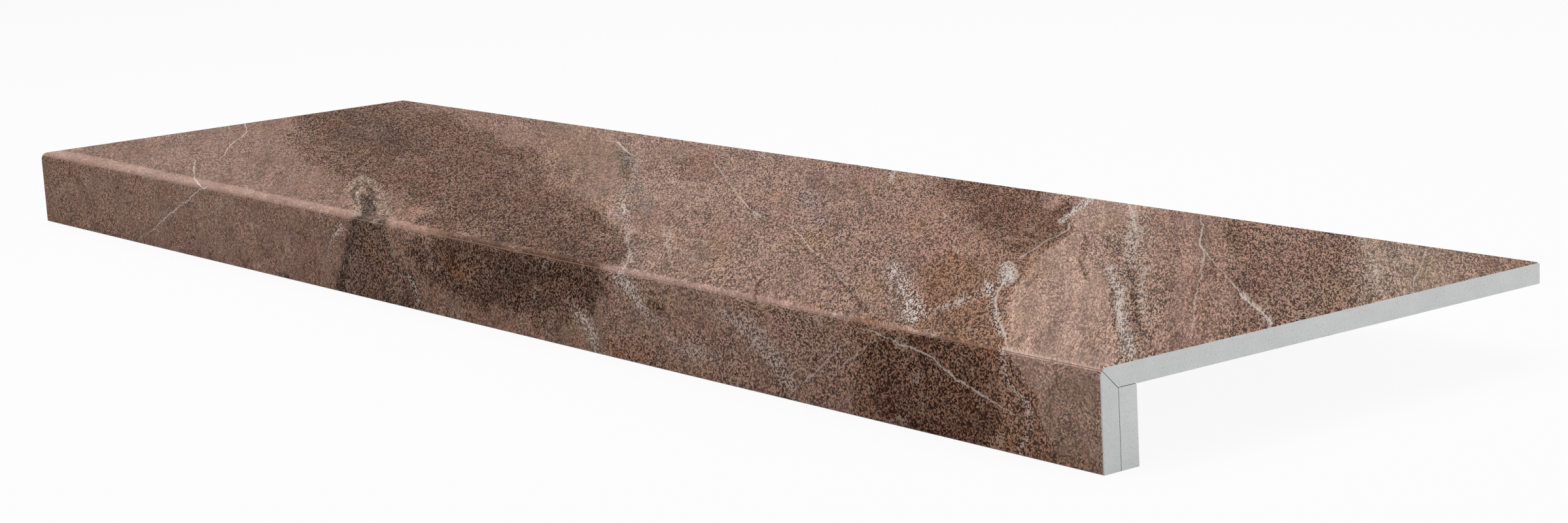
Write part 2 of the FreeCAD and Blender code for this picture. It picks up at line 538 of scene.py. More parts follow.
# Patches of another tone. A path's points are x, s and the width there as a share of halfWidth. Soft
# is how far in the edge fades, ragged how far it is torn, grain the share of crystalline grain, and
# cover how much of the colour shows
Patch = namedtuple("Patch", "path halfWidth soft ragged colour grain cover")
stonePatches = [
    # the great rusty bed from the back left corner to the nose, and its darkest parts
    Patch([(-640, 284, 0.6), (-510, 246, 0.85), (-380, 192, 1), (-250, 150, 1), (-120, 106, 0.74),
           (20, 60, 0.64), (130, 10, 0.52)], 86, 28, 1.6, (84, 56, 42), 0.62, 0.95),
    Patch([(-600, 262, 0.8), (-520, 236, 1), (-440, 208, 1), (-360, 190, 1), (-300, 168, 0.3)],
          40, 24, 1.6, (68, 43, 30), 0.62, 0.85),
    Patch([(-150, 116, 0.3), (-60, 82, 0.9), (30, 50, 1), (110, 26, 1), (160, 4, 0.6)],
          32, 20, 1.4, (72, 47, 34), 0.7, 0.8),
    Patch([(-74, 46, 0.7), (-44, 30, 1), (0, 18, 1), (60, 6, 1), (110, -2, 0.8)],
          28, 14, 1.2, (80, 54, 40), 0.66, 0.85),
    Patch([(-560, 238, 0.5), (-534, 227, 1), (-505, 214, 0.4)], 12, 10, 1.4, (112, 80, 46), 0.6, 0.6),
    Patch([(-400, 178, 0.5), (-378, 168, 1), (-350, 158, 0.4)], 12, 10, 1.4, (116, 86, 56), 0.6, 0.6),
    # smooth tan strip above it
    Patch([(-330, 305, 0.5), (-260, 276, 1), (-180, 232, 0.9), (-110, 190, 0.2)],
          22, 10, 0.8, (150, 122, 106), 0.12, 0.85),
    Patch([(-130, 296, 0.5), (-80, 258, 1), (-30, 226, 0.5)], 26, 14, 0.9, (128, 101, 88), 0.4, 0.75),
    # the arch where it runs over the top: pale ring, dark outline and dark core
    Patch([(-270, 96, 0.2), (-240, 80, 0.8), (-200, 58, 1), (-160, 38, 1), (-120, 17, 1), (-92, 2, 1)],
          15, 6, 0.2, (152, 133, 119), 0.3, 0.8),
    Patch([(-248, 84, 0.2), (-225, 75, 0.8), (-200, 63, 1), (-178, 51, 1), (-158, 42, 0.5)],
          3.4, 2, 0.2, (78, 60, 51), 0.6, 0.95),
    Patch([(-246, 80, 0.3), (-222, 64, 1), (-205, 51, 1), (-188, 42, 0.8), (-166, 31, 0.3)],
          3.2, 2, 0.2, (78, 60, 51), 0.6, 0.95),
    Patch([(-200, 56, 0.1), (-180, 46, 0.7), (-160, 35, 1), (-140, 25, 1), (-120, 14, 1), (-96, 0, 1)],
          6.2, 2.5, 0.15, (58, 42, 37), 0.5, 1),
    Patch([(-128, 21, 0.4), (-105, 10, 1), (-80, -2, 1)], 2.6, 1.8, 0.1, (80, 63, 55), 0.5, 0.95),
    # grey streak under the long pale vein, then smooth bluish grey
    Patch([(-208, 278, 0.4), (-154, 248, 1), (-107, 214, 0.9), (-76, 193, 0.2)],
          9, 7, 0.6, (104, 88, 76), 0.4, 0.8),
    Patch([(-84, 203, 0.5), (-36, 176, 1), (12, 147, 1), (43, 126, 0.8), (74, 102, 0.2)],
          9, 6, 0.5, (134, 118, 110), 0.2, 0.7),
    Patch([(2, 128, 0.4), (22, 114, 1), (46, 100, 0.3)], 7, 5, 0.4, (160, 132, 132), 0.4, 0.75),
    Patch([(-8, 116, 0), (14, 104, 1), (38, 92, 1), (64, 78, 0)], 5, 3, 0.3, (70, 44, 28), 0.5, 1),
    Patch([(46, 252, 0.5), (83, 228, 1), (109, 212, 1), (148, 186, 1), (182, 160, 0.2)],
          12, 12, 1, (134, 118, 118), 0.8, 0.75),
    # orange brown and dark parts of the bed left of the white vein
    Patch([(110, 350, 0.7), (170, 318, 1), (225, 285, 1), (275, 248, 0.9), (312, 214, 0.7),
           (345, 180, 0.3)], 44, 16, 1.2, (88, 55, 36), 0.62, 0.92),
    Patch([(120, 330, 0.7), (150, 306, 1), (186, 280, 0.3)], 12, 12, 1.2, (66, 44, 30), 0.5, 0.7),
    Patch([(318, 148, 0.4), (362, 112, 0.8), (404, 78, 0.8), (440, 44, 1), (480, 22, 1), (512, 2, 0.8)],
          26, 9, 0.8, (122, 86, 63), 0.6, 0.75),
    Patch([(210, 328, 1), (236, 304, 0.9), (262, 280, 0)], 9, 5, 0.4, (164, 132, 120), 0.15, 0.85),
    Patch([(100, 226, 0.3), (140, 196, 1), (176, 170, 0.5)], 2.4, 1.8, 0.3, (104, 84, 76), 0.5, 0.7),
    Patch([(40, 200, 0.3), (112, 168, 1), (173, 141, 0.5), (246, 101, 1), (297, 76, 0.6), (359, 40, 1),
           (420, 4, 0.4)], 2.2, 1.9, 0.4, (86, 60, 50), 0.6, 0.75),
    Patch([(262, 58, 0.3), (290, 28, 1), (322, 0, 1)], 1.6, 1.3, 0.3, (96, 60, 50), 0.4, 0.85),
    # smooth rosy bed right of the white vein, cut off sharply by it, and the olive streak beside it
    Patch([(262, 344, 0.75), (300, 286, 0.7), (334, 240, 0.4), (376, 186, 0.6), (424, 138, 0.85),
           (474, 90, 1), (528, 42, 1), (572, 0, 1)], 30, 4, 0.3, (178, 149, 135), 0.12, 0.95),
    Patch([(318, 256, 0), (351, 225, 0.8), (375, 201, 1), (398, 177, 1), (427, 154, 0.9), (450, 137, 0)],
          3.6, 3.6, 0.3, (104, 80, 62), 0.4, 0.8),
    Patch([(425, 190, 0.4), (452, 165, 1), (490, 130, 1), (530, 92, 1), (570, 55, 0.6)],
          3.2, 2.6, 0.3, (92, 70, 58), 0.6, 0.85),
    Patch([(450, 150, 0.2), (483, 121, 1), (520, 88, 1), (556, 54, 0.2)],
          2.4, 2.4, 0.3, (98, 78, 66), 0.6, 0.8),
    # the beige right end of the nosing
    Patch([(528, 4, 0.8), (552, 3.5, 1), (576, 3.5, 0.8)], 5, 2.5, 0.05, (194, 170, 152), 0.1, 0.75),
    Patch([(574, 3.5, 0.8), (590, 3, 1), (606, 3, 1)], 5, 2.5, 0.05, (192, 158, 146), 0.1, 0.6),
    # darkest knots of the speckled bed
    Patch([(396, 304, 1), (409, 291, 1), (430, 268, 0.6), (452, 244, 0.3)],
          8, 7, 0.9, (72, 54, 46), 0.7, 0.7),
    Patch([(470, 232, 0.5), (492, 208, 0.8), (514, 186, 1), (540, 172, 0.4)],
          8, 7, 0.9, (74, 56, 48), 0.7, 0.7),
    Patch([(508, 262, 0.5), (526, 250, 1), (550, 226, 0.4)], 8, 7, 0.9, (76, 58, 50), 0.7, 0.65),
    # the arch on the front, its dark left leg and its right one
    Patch([(-98, 0, 0.4), (-95, -20, 0.62), (-91, -62, 1)], 50, 6, 0.5, (88, 69, 59), 0.68, 0.9),
    Patch([(-112, 2, 1), (-121, -14, 1), (-131, -33, 1), (-146, -62, 1)],
          9, 8, 0.3, (60, 47, 41), 0.4, 0.95),
    Patch([(-84, 2, 1), (-72, -14, 0.8), (-59, -26, 0.8), (-44, -40, 0.9), (-38, -60, 1)],
          8, 6, 0.6, (72, 56, 48), 0.7, 0.8),
    # rusty and dark part in the middle of the front
    Patch([(-44, -16, 0.5), (0, -22, 0.9), (50, -22, 1), (100, -20, 1), (160, -14, 0.7)],
          28, 16, 1.4, (66, 43, 31), 0.66, 0.92),
    Patch([(0, -18, 0.5), (18, -22, 1), (34, -20, 0.5)], 12, 10, 0.8, (114, 74, 44), 0.5, 0.6),
    Patch([(40, -10, 0.5), (70, -14, 1), (106, -12, 1), (130, -8, 0.4)], 11, 9, 1, (58, 40, 31), 0.6, 0.7),
    Patch([(172, -44, 0.5), (198, -46, 1), (224, -44, 0.4)], 14, 10, 0.9, (134, 94, 80), 0.5, 0.7),
    Patch([(218, -18, 0.5), (227, -19, 1), (236, -20, 0.5)], 6, 5, 0.6, (92, 62, 44), 0.6, 0.7),
    # the smooth right end of the front, and the big dark patch beside it
    Patch([(572, -30, 0.9), (590, -30, 1), (620, -30, 1)], 28, 5, 0.5, (153, 127, 114), 0.16, 0.85),
    Patch([(418, -2, 1), (421, -26, 0.9), (414, -60, 1)], 16, 12, 0.8, (112, 78, 60), 0.66, 0.8),
    Patch([(436, -30, 0.9), (470, -30, 1), (506, -30, 0.95)], 33, 8, 0.5, (88, 58, 45), 0.7, 0.95),
    Patch([(-230, -55, 0.6), (-220, -53, 1), (-208, -55, 0.6)], 3.5, 2.5, 0.3, (60, 48, 42), 0.3, 0.85),
]

# White and pale veins by their kinds, which go from a solid line, 1, to scattered flecks, 0
Vein = namedtuple("Vein", "path halfWidth cover")
drawnVeins = [
    Vein([(-606, 182, 0.7), (-588, 173, 1), (-550, 153, 0.9), (-495, 110, 1), (-453, 83, 0.8),
          (-428, 64, 0)], 0.95, 0.9),
    Vein([(-606, 167, 0.6), (-582, 156, 1), (-560, 146, 0.6), (-510, 120, 0)], 0.9, 0.6),
    Vein([(-462, 62, 0), (-416, 38, 1), (-382, 20, 0.8), (-345, 4, 0.8), (-328, -2, 0.8)], 1, 0.85),
    Vein([(-327, 0, 0.8), (-353, -12, 1), (-400, -33, 0.9), (-418, -42, 0.8), (-446, -51, 0)], 0.75, 0.85),
    Vein([(296, 262, 1), (317, 238, 0.9), (327, 217, 0.8), (338, 198, 0.8), (356, 168, 1)], 1.1, 0.7),
    Vein([(358, 154, 0.6), (380, 136, 1), (402, 113, 1), (424, 90, 1), (443, 72, 0.9), (470, 50, 0.7),
          (494, 32, 1), (512, 18, 0.7), (534, 0, 0.5)], 1.2, 0.85),
    Vein([(322, 104, 0.3), (358, 76, 1), (394, 50, 0.7), (422, 30, 1), (440, 16, 0.6)], 1.1, 0.4),
    Vein([(340, 330, 0.6), (375, 296, 0.9), (402, 267, 1), (433, 239, 1), (456, 215, 0.8), (515, 152, 0.7),
          (586, 77, 0.7)], 1.1, 0.75),
    Vein([(412, 258, 0.4), (440, 236, 0.9), (479, 208, 0.6), (518, 178, 0.8), (557, 151, 1), (581, 136, 1),
          (606, 112, 0.6)], 1.2, 0.8),
    Vein([(520, 328, 0.5), (552, 288, 0.9), (575, 258, 0.8), (602, 224, 0.5)], 0.9, 0.6),
    Vein([(-300, 322, 0.4), (-260, 298, 0.6), (-232, 294, 0.9), (-205, 281, 1),
          (-167, 262, 0.2)], 1.8, 0.8),
    Vein([(-108, 290, 0.3), (-62, 262, 0.8), (-14, 234, 0.7), (60, 191, 1), (96, 172, 0.8),
          (150, 146, 0.2)], 1.2, 0.7),
    Vein([(92, 105, 0.3), (110, 92, 1), (137, 75, 0.8), (183, 42, 0.3)], 0.9, 0.5),
    Vein([(40, 108, 0.7), (83, 83, 0.6), (109, 64, 0.8), (143, 41, 0.9), (169, 22, 1),
          (192, 3, 0.7)], 1.3, 0.55),
    Vein([(88, 112, 0), (122, 88, 0.9), (148, 67, 1), (169, 54, 0.8), (206, 28, 0.2)], 1.3, 0.5),
    Vein([(414, -5, 0.6), (446, -8, 0.8), (467, -11, 1), (483, -17, 1), (504, -24, 1), (519, -29, 0.9),
          (548, -36, 0.2)], 1, 0.75),
    Vein([(384, -40, 0.2), (404, -24, 1), (430, -8, 0.4)], 0.9, 0.5),
    Vein([(352, -50, 0.2), (376, -34, 1), (402, -14, 0.4)], 0.9, 0.5),
    Vein([(300, -42, 0.2), (322, -24, 1), (344, -8, 0.4)], 0.8, 0.4),
]
brokenVeins = [
    Vein([(-214, 61, 0.3), (-196, 50, 1), (-182, 42, 0.6), (-158, 29, 0.6), (-130, 13, 0.3)], 1.8, 0.6),
    Vein([(240, 334, 1), (267, 296, 0.9), (285, 268, 0.7), (302, 250, 0.2)], 6, 0.95),
    Vein([(354, 160, 0.1), (364, 150, 0.8), (380, 136, 1), (396, 122, 1), (410, 108, 0.5)], 7.5, 1),
    Vein([(282, 326, 0.7), (312, 301, 1), (338, 277, 1), (364, 256, 0.6), (400, 232, 0)], 3.2, 0.7),
    Vein([(405, 192, 0.4), (440, 160, 1), (470, 138, 1), (510, 100, 1), (545, 70, 1),
          (594, 26, 0.8)], 4.5, 0.75),
    Vein([(430, 200, 0.5), (460, 165, 0.8), (500, 125, 0.8), (545, 88, 0.5)], 3, 0.6),
    Vein([(470, 332, 1), (499, 304, 0.9), (536, 270, 1), (565, 238, 0.6), (604, 200, 0.4)], 2.4, 0.6),
    Vein([(150, 158, 0.2), (180, 142, 1), (240, 108, 0.8), (300, 80, 0.3)], 1.4, 0.6),
    Vein([(-2, 141, 0.4), (10, 132, 1), (30, 118, 0.8), (44, 107, 0.4)], 2.4, 0.85),
    Vein([(46, 330, 1), (77, 304, 1), (100, 286, 0.2)], 3, 0.6),
    Vein([(-96, 326, 1), (-80, 314, 0.8), (-60, 304, 0)], 2.6, 0.5),
    Vein([(200, 244, 0.4), (218, 230, 1), (238, 212, 0.2)], 1.6, 0.45),
    Vein([(274, 188, 0.4), (298, 168, 1), (330, 145, 0.2)], 1.6, 0.5),
]
fleckedVeins = [
    Vein([(392, 110, 0.6), (410, 97, 1), (440, 73, 0.7), (476, 44, 0.9), (510, 18, 0.5)], 5, 0.9),
    Vein([(300, 118, 0.2), (335, 94, 0.8), (370, 68, 0.8), (400, 46, 1), (425, 30, 1),
          (442, 14, 0.8)], 14, 1),
    Vein([(396, 110, 0.4), (414, 88, 0.9), (424, 62, 1), (430, 38, 0.6)], 10, 0.5),
    Vein([(510, 183, 0.3), (548, 158, 1), (581, 136, 1), (606, 112, 0.5)], 3.5, 0.6),
    Vein([(350, 262, 0.6), (391, 225, 1), (425, 190, 0.4)], 6, 0.5),
    Vein([(-213, 285, 0.6), (-147, 247, 1), (-88, 210, 0.6), (-23, 152, 0.9), (12, 129, 1),
          (60, 98, 0.3)], 9, 0.34),
    Vein([(56, 100, 0.3), (86, 80, 0.9), (120, 58, 0.5), (155, 35, 0.9), (186, 10, 0.6)], 9, 0.3),
    Vein([(-93, 240, 0.6), (-50, 214, 1), (-20, 199, 0.4)], 5, 0.35),
    Vein([(85, 179, 0.4), (110, 166, 1), (132, 154, 0.4)], 7, 0.3),
    Vein([(190, -3, 1), (204, -11, 1), (219, -23, 0.6), (243, -30, 0.2)], 8, 0.85),
    Vein([(139, -30, 0.5), (156, -39, 1), (163, -54, 0.7)], 9, 0.8),
    Vein([(-156, -40, 0.4), (-152, -25, 0.6), (-134, -8, 1)], 4.5, 0.65),
    Vein([(-52, -30, 0.4), (-44, -40, 1), (-38, -52, 0.6)], 4.5, 0.7),
    Vein([(528, -2, 1), (530, -12, 0.8), (548, -31, 1), (538, -52, 0.8)], 4.5, 0.65),
    Vein([(290, -10, 0.4), (322, -22, 1), (352, -44, 0.8)], 11, 0.5),
    Vein([(236, -34, 0.4), (262, -40, 1), (290, -36, 0.5)], 8, 0.35),
]
veinKinds = [(drawnVeins, 0.85), (brokenVeins, 0.45), (fleckedVeins, 0.12)]

veinLook = {
    "colour": (230, 214, 206),
    "softness": (0.8, 0.9, 0.5),     # soft edge = first + halfWidth * (second - third * solid)
    "threshold": (0.52, 0.14),       # flecks show on grain past first - second * solid
    "thresholdEdges": (0.03, 0.05),
    "grainWeights": (0.6, 0.4),      # grain is made of fine and coarse
    "strandWeights": (0.6, 0.8),     # and flecks on the top follow grain and streaks
    "strandStart": -0.2,
}


def placeInMm(recipe):
    # The place on the part, as its mesh gives it
    place = recipe.node("ShaderNodeTexCoord").outputs["Object"]
    return recipe.vector("MULTIPLY", place, (1 / mm, 1 / mm, 1 / mm))


def depthBelowFace(recipe, y, z):
    # How deep a point lies below the rounded face: the nosing's radius less the distance from the
    # rounding's middle line, which the top and the front share
    radius = workedEdges["nosingRadius"]
    ahead = recipe.math("MAXIMUM", recipe.minus(noseLow.y + radius, y), 0.0)
    above = recipe.math("MAXIMUM", recipe.minus(z, slabHigh.z - radius), 0.0)
    reach = recipe.vector("LENGTH", recipe.combine(ahead, above))
    return recipe.minus(radius, reach)


def groundAndHighlightMask(recipe, x, s):
    # 1 on the ground nosing, the band that is also painted lighter as a highlight. It starts sharply at
    # the fold and fades out on the top, wider at the left
    started = recipe.spread(s, *groundNosingAndHighlight["start"])
    widened = recipe.timesPlus(x, groundNosingAndHighlight["widening"], s)
    return recipe.times(started, recipe.spread(widened, *groundNosingAndHighlight["end"], 1.0, 0.0))


def strokeMask(recipe, planX, planS, stroke, soft):
    # The stroke's cover inside a band that follows its path, and 0 outside. The plan is turned so that
    # the path lies between 0 and 1 ahead. One curve tells how far it strays aside, one its width:
    # mask = smoothstep from 1/2 on of (1 + width) / 2 - |aside - strayed| / (2 * halfWidth)
    x, s, widths = np.array(stroke.path, float).T
    length = float(np.hypot(x[-1] - x[0], s[-1] - s[0]))
    ahead = np.array([x[-1] - x[0], s[-1] - s[0]]) / length
    aside = np.array([-ahead[1], ahead[0]])
    cap = stroke.halfWidth
    reach = length + 2 * cap
    along = ((x - x[0]) * ahead[0] + (s - s[0]) * ahead[1] + cap) / reach
    across = (x - x[0]) * aside[0] + (s - s[0]) * aside[1]
    sway = max(float(np.abs(across).max()), 1.0) * 1.25   # the curve's range, with room to spare
    span = 2 * stroke.halfWidth
    here = recipe.weighed(planX, planS, ahead / reach, (cap - x[0] * ahead[0] - s[0] * ahead[1]) / reach)
    beside = recipe.weighed(planX, planS, aside / span, (sway - x[0] * aside[0] - s[0] * aside[1]) / span)
    strayed = recipe.curve(here, list(zip(along, 0.5 + across / sway / 2)))
    width = recipe.curve(here, [(0.0, 0.0)] + list(zip(along, (widths + 1) / 2)) + [(1.0, 0.0)])
    distance = recipe.math("ABSOLUTE", recipe.timesPlus(strayed, -2 * sway / span, beside))
    room = recipe.minus(width, distance)
    return recipe.spread(room, 0.5, 0.5 + soft / span, 0.0, stroke.cover)


def stoneNoise(recipe, name, place, output="Fac"):
    # One of the stone's noises, moved aside where noiseShifts says so, to keep it unlike the others
    if name in noiseShifts:
        place = recipe.vector("ADD", place, noiseShifts[name])
    return recipe.noise(place, *stoneNoises[name], output)


def bedPlan(recipe, x, s, onFront):
    # Returns flow, the way across the beds, and the place where grain and noises are read: along and
    # across the beds on the top, and x and s on the front
    slope = recipe.timesPlus(x, stoneLook["flowBend"], stoneLook["flowSlope"])
    hanging = recipe.times(recipe.math("MINIMUM", s, 0.0), stoneLook["frontSteepness"])
    flow = recipe.plus(recipe.times(x, slope), hanging)
    flow = recipe.plus(flow, recipe.math("MAXIMUM", s, 0.0))
    alongX, alongS = grainLook["along"]
    along = recipe.timesPlus(s, alongS, recipe.times(x, alongX))
    across = recipe.times(flow, grainLook["across"])
    bedded = recipe.combine(recipe.math("DIVIDE", along, grainLook["stretch"]), across)
    mixer = recipe.node("ShaderNodeMix", data_type="VECTOR")
    recipe.feed(mixer.inputs[0], onFront)
    recipe.feed(mixer.inputs[4], bedded)
    recipe.feed(mixer.inputs[5], recipe.combine(x, s))
    return flow, mixer.outputs[1]


def bedRamp(recipe, flow):
    # Returns the beds' colour and share of grain by the flow, straight from one bed to the next
    low, high = stoneLook["flowFrom"], stoneLook["flowTo"]
    ramp = recipe.node("ShaderNodeValToRGB")
    stops = ramp.color_ramp.elements
    while len(stops) < len(stoneBeds):
        stops.new(0.5)
    for stop, (where, colour, grain) in zip(stops, stoneBeds):
        stop.position = (where - low) / (high - low)
        stop.color = linearColour(colour)[:3] + (grain,)
    recipe.feed(ramp.inputs["Fac"], recipe.spread(flow, low, high, smooth=False))
    return ramp.outputs["Color"], ramp.outputs["Alpha"]


def stoneColour(recipe, x, s, ground):
    # Returns the stone picture's colour and its grain. Brightness is gathered in doublings, called
    # stops, and applied once. Where the nosing is ground the grain is fainter
    onFront = recipe.math("LESS_THAN", s, stoneLook["frontFrom"])
    flow, grainPlace = bedPlan(recipe, x, s, onFront)

    # Wandering of the beds, patches and veins off their drawn lines
    half = (0.5, 0.5, 0.5)
    wander = recipe.vector("SUBTRACT", stoneNoise(recipe, "wander", grainPlace, "Color"), half)
    tremble = recipe.vector("SUBTRACT", stoneNoise(recipe, "tremble", grainPlace, "Color"), half)
    wanderX, wanderY, wanderZ = recipe.split(wander)
    trembleX, trembleY, _ = recipe.split(tremble)

    def tornPlan(wide, narrow):
        tornX = recipe.plus(x, recipe.weighed(wanderX, trembleX, (wide, narrow), 0.0))
        tornS = recipe.plus(s, recipe.weighed(wanderY, trembleY, (wide, narrow), 0.0))
        return tornX, tornS

    # Beds
    wideFlow = recipe.timesPlus(wanderX, stoneLook["bedWander"][0], flow)
    wideFlow = recipe.timesPlus(wanderY, stoneLook["bedWander"][1], wideFlow)
    colour, grainShare = bedRamp(recipe, wideFlow)

    # Patches, whose outlines are torn by the wander and the tremble together
    wide, narrow = stoneLook["patchTear"]
    tornPlans = {}
    for ragged in sorted({patch.ragged for patch in stonePatches}):
        tornPlans[ragged] = tornPlan(wide * ragged, narrow * ragged)
    for patch in stonePatches:
        mask = strokeMask(recipe, *tornPlans[patch.ragged], patch, patch.soft)
        colour = recipe.blend(mask, colour, linearColour(patch.colour))
        grainShare = recipe.between(mask, grainShare, patch.grain)

    # Hues drift between rusty, olive and rosy, most where the stone is grainy
    lively = recipe.spread(grainShare, *stoneLook["livelyGrain"], *stoneLook["livelyShares"], smooth=False)
    colour = recipe.blend(1.0, colour, stoneLook["overallTint"] + (1.0,), "MULTIPLY")
    hues = recipe.split(stoneNoise(recipe, "hues", grainPlace, "Color"))
    for hue, tint in zip(hues, stoneLook["hueTints"]):
        mask = recipe.times(recipe.spread(hue, *stoneLook["hueLevels"]), lively)
        colour = recipe.blend(mask, colour, tint + (1.0,), "MULTIPLY")

    # Clouds, streaks and crystalline grain, the last gathered in clusters
    perMm = recipe.between(onFront, grainLook["perMmOnTop"], grainLook["perMmOnFront"])
    fine, warm, cool = recipe.split(recipe.crystals(grainPlace, perMm))
    coarse = stoneNoise(recipe, "coarse", grainPlace)
    clouds = stoneNoise(recipe, "clouds", grainPlace)
    streakPlace = recipe.vector("MULTIPLY", grainPlace, (1 / grainLook["streakStretch"], 1.0, 1.0))
    streaks = stoneNoise(recipe, "streaks", streakPlace)
    clusters = recipe.spread(stoneNoise(recipe, "clusters", grainPlace), *grainLook["clusterLevels"],
                             *grainLook["clusterShares"])
    calm = recipe.timesPlus(ground, -groundNosingAndHighlight["calm"], 1.0)
    amount = recipe.times(recipe.times(grainShare, clusters), calm)
    fineStops = recipe.centred(fine, grainLook["fineStops"])
    coarseStops = recipe.centred(coarse, grainLook["coarseStops"])
    cloudStops = recipe.centred(clouds, stoneLook["cloudStops"])
    streakStops = recipe.centred(streaks, stoneLook["streakStops"])
    stopsSum = recipe.plus(amount, grainLook["leastShare"])
    stopsSum = recipe.times(recipe.plus(fineStops, coarseStops), stopsSum)
    stopsSum = recipe.timesPlus(cloudStops, lively, stopsSum)
    streaked = recipe.spread(flow, *stoneLook["streakFlow"], *stoneLook["streakShares"])
    streaked = recipe.times(streaked, recipe.minus(1.0, onFront))
    streaked = recipe.times(streaked, calm)
    stopsSum = recipe.timesPlus(streakStops, streaked, stopsSum)
    stopsSum = recipe.math("MAXIMUM", stopsSum, stoneLook["darkestStops"])
    brightness = recipe.math("POWER", 2.0, recipe.math("MINIMUM", stopsSum, stoneLook["brightestStops"]))
    colour = recipe.blend(1.0, colour, brightness, "MULTIPLY")

    # Pale grains, then pale and dark flecks, and each grain a little warmer or cooler
    pale = recipe.spread(stopsSum, *grainLook["paleStops"], 0.0, grainLook["paleShare"], smooth=False)
    colour = recipe.blend(pale, colour, linearColour(grainLook["paleColour"]))
    for channel, fleckColour in ((warm, grainLook["paleFleck"]), (cool, grainLook["darkFleck"])):
        flecks = recipe.times(recipe.spread(channel, *grainLook["fleckLevels"]), amount)
        flecks = recipe.times(flecks, grainLook["fleckShare"])
        colour = recipe.blend(flecks, colour, linearColour(fleckColour))
    redder = recipe.timesPlus(recipe.centred(warm, grainLook["warmSwing"]), amount, 1.0)
    bluer = recipe.timesPlus(recipe.centred(cool, grainLook["coolSwing"]), amount, 1.0)
    colour = recipe.blend(1.0, colour, recipe.combine(redder, 1.0, bluer), "MULTIPLY")

    # Hairlines: thin contours of a noise, pale at one level and dark at another, here and there
    veinX, veinS = tornPlan(*stoneLook["veinTear"])
    contour = stoneNoise(recipe, "contour", recipe.combine(veinX, veinS))
    paleHere = recipe.spread(wanderZ, *hairlines["paleWhere"])
    darkHere = recipe.minus(1.0, paleHere)
    for kind, here in (("pale", paleHere), ("dark", darkHere)):
        hair = hairlines[kind]
        distance = recipe.math("ABSOLUTE", recipe.minus(contour, hair["level"]))
        mask = recipe.times(recipe.spread(distance, *hair["widths"], hair["share"], 0.0), here)
        colour = recipe.blend(mask, colour, linearColour(hair["colour"]))

    # Veins: between a drawn line and scattered flecks, which only the brightest grains show
    ofFine, ofCoarse = veinLook["grainWeights"]
    grain = recipe.plus(recipe.times(fine, ofFine), recipe.times(coarse, ofCoarse))
    strands = recipe.weighed(grain, streaks, veinLook["strandWeights"], veinLook["strandStart"])
    strands = recipe.between(onFront, strands, grain)
    softBase, softWide, softSolid = veinLook["softness"]
    lowEdge, highEdge = veinLook["thresholdEdges"]
    for veins, solid in veinKinds:
        mask = 0.0
        for vein in veins:
            soft = min(vein.halfWidth, softBase + vein.halfWidth * (softWide - softSolid * solid))
            mask = recipe.math("MAXIMUM", strokeMask(recipe, veinX, veinS, vein, soft), mask)
        threshold = veinLook["threshold"][0] - veinLook["threshold"][1] * solid
        lit = recipe.spread(strands, threshold - lowEdge, threshold + highEdge, solid ** 2, 1.0)
        colour = recipe.blend(recipe.times(mask, lit), colour, linearColour(veinLook["colour"]))
    return colour, grain


# The fired body below the glaze, which the sawn edges and the back show

firedBody = {
    "colour": (205, 207, 206),
    "clouds": (9.0, 4.0, 0.6),          # noises as above: width of a blob in mm, detail and roughness
    "cloudLevels": (0.25, 0.75),
    "cloudTones": (0.94, 1.05),
    "specks": (0.5, 1.0, 0.5),
    "darkSpeck": {"colour": (168, 166, 162), "levels": (0.62, 0.70), "share": 0.55},
    "paleSpeck": {"colour": (222, 222, 219), "levels": (0.38, 0.30), "share": 0.5},
    "sawLines": (0.22, 2.0, 0.6),
    "sawStretch": 0.012,                # saw lines run level, so their noise is read slowly along them
    "sawTones": (0.975, 1.02),
    "heightShares": (0.6, 0.4),         # specks and saw lines
    "heightMm": 0.10,
    "roughness": 0.72,
}


def firedBodyColour(recipe, place):
    # Returns the pale grey body's colour and height: faint clouds, small specks and saw lines
    x, y, z = recipe.split(place)
    clouds = recipe.noise(place, *firedBody["clouds"], dimensions="3D")
    tone = recipe.spread(clouds, *firedBody["cloudLevels"], *firedBody["cloudTones"], smooth=False)
    colour = recipe.blend(1.0, linearColour(firedBody["colour"]), tone, "MULTIPLY")
    specks = recipe.noise(place, *firedBody["specks"], dimensions="3D")
    for speck in (firedBody["darkSpeck"], firedBody["paleSpeck"]):
        share = recipe.spread(specks, *speck["levels"], 0.0, speck["share"])
        colour = recipe.blend(share, colour, linearColour(speck["colour"]))
    slow = recipe.times(recipe.plus(x, y), firedBody["sawStretch"])
    sawLines = recipe.noise(recipe.combine(slow, z), *firedBody["sawLines"])
    tone = recipe.spread(sawLines, *usualNoise, *firedBody["sawTones"], smooth=False)
    colour = recipe.blend(1.0, colour, tone, "MULTIPLY")
    speckHeight, sawHeight = firedBody["heightShares"]
    height = recipe.plus(recipe.times(specks, speckHeight), recipe.times(sawLines, sawHeight))
    return colour, height


